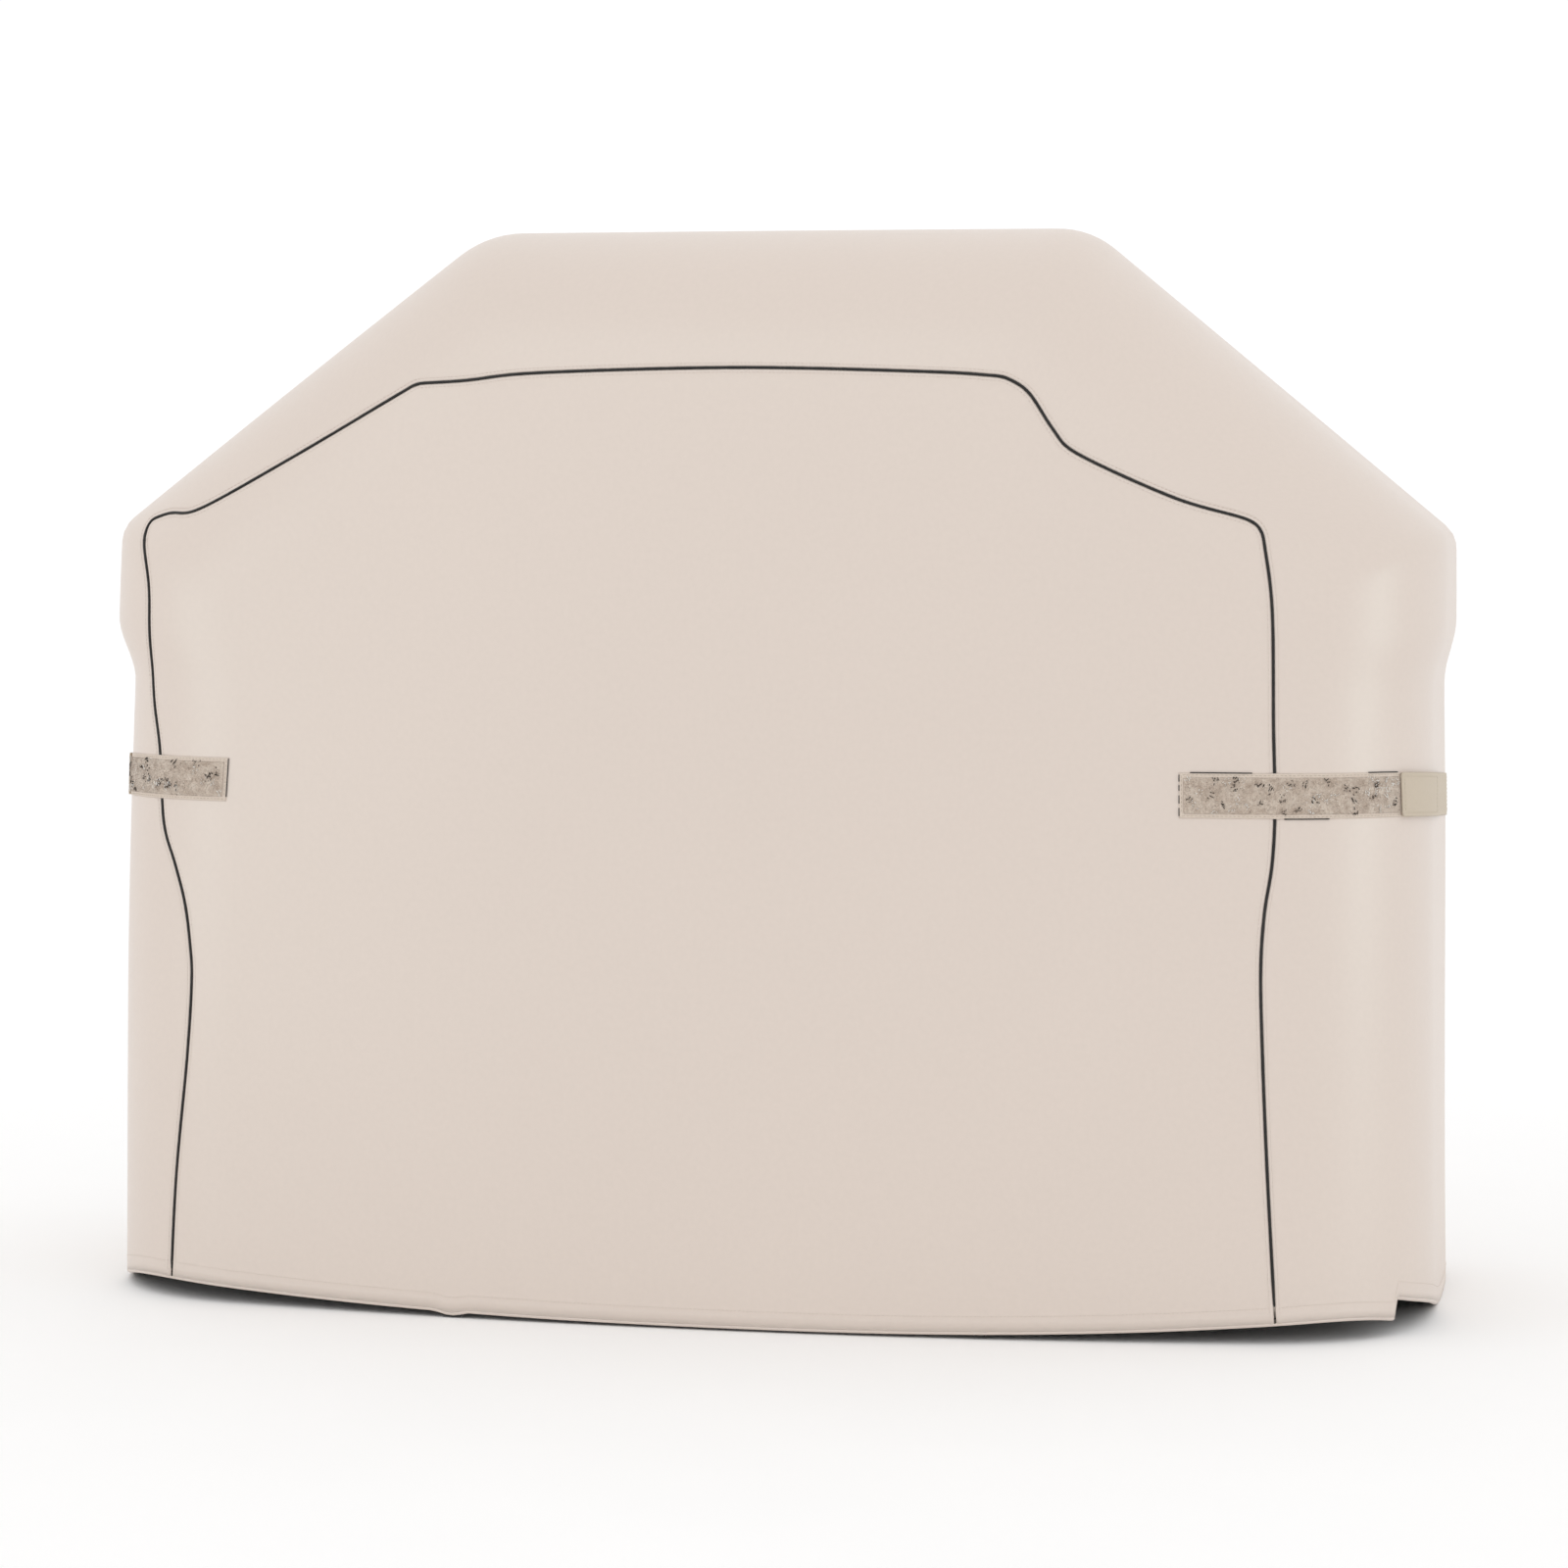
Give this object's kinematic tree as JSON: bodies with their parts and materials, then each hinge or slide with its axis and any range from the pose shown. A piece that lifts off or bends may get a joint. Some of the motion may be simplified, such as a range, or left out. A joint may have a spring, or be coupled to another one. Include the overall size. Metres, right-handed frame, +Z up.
{
  "type": "grill cover",
  "caption": "Fitted fabric cover for a barbecue cart: flat top, sloped shoulders, piped seams, elastic hem and hook-and-loop closing straps at the front corners.",
  "frame": {"origin": "middle of the cover at floor level, under its hem", "axes": "+X to the viewer's right along the cover's width, +Y from the front to the rear, +Z up"},
  "size_m": [1.48, 0.6099, 1.1677],
  "materials": {
    "cloth": "matte",
    "seam": "matte",
    "seam_tape": "satin",
    "webbing": "matte",
    "loop_pile": "matte",
    "hook_tape": "matte",
    "elastic": "matte"
  },
  "bodies": {
    "cover": {"front_panel": "cloth", "rear_panel": "cloth", "side_and_top_panel": "cloth", "front_seam_piping": "seam", "rear_seam_piping": "seam", "front_seam_tape": "seam_tape", "rear_seam_tape": "seam_tape", "hem_band": "cloth", "hem_elastic_cord": "elastic", "left_patch_backing": "webbing", "left_loop_tape": "loop_pile", "left_strap_root": "webbing", "right_patch_backing": "webbing", "right_loop_tape": "loop_pile", "right_strap_root": "webbing"},
    "left_strap": {"left_strap": "webbing", "left_hook_tape": "hook_tape"},
    "right_strap": {"right_strap": "webbing", "right_hook_tape": "hook_tape"}
  },
  "joints": [
    {"name": "left_strap_peel", "type": "hinge", "parent": "cover", "child": "left_strap", "pos_m": [-0.7272, 0.153, 0.5456], "axis": [0, 0, -1], "range_deg": [0, 150]},
    {"name": "right_strap_peel", "type": "hinge", "parent": "cover", "child": "right_strap", "pos_m": [0.7362, 0.153, 0.5456], "axis": [0, 0, 1], "range_deg": [0, 150]}
  ]
}
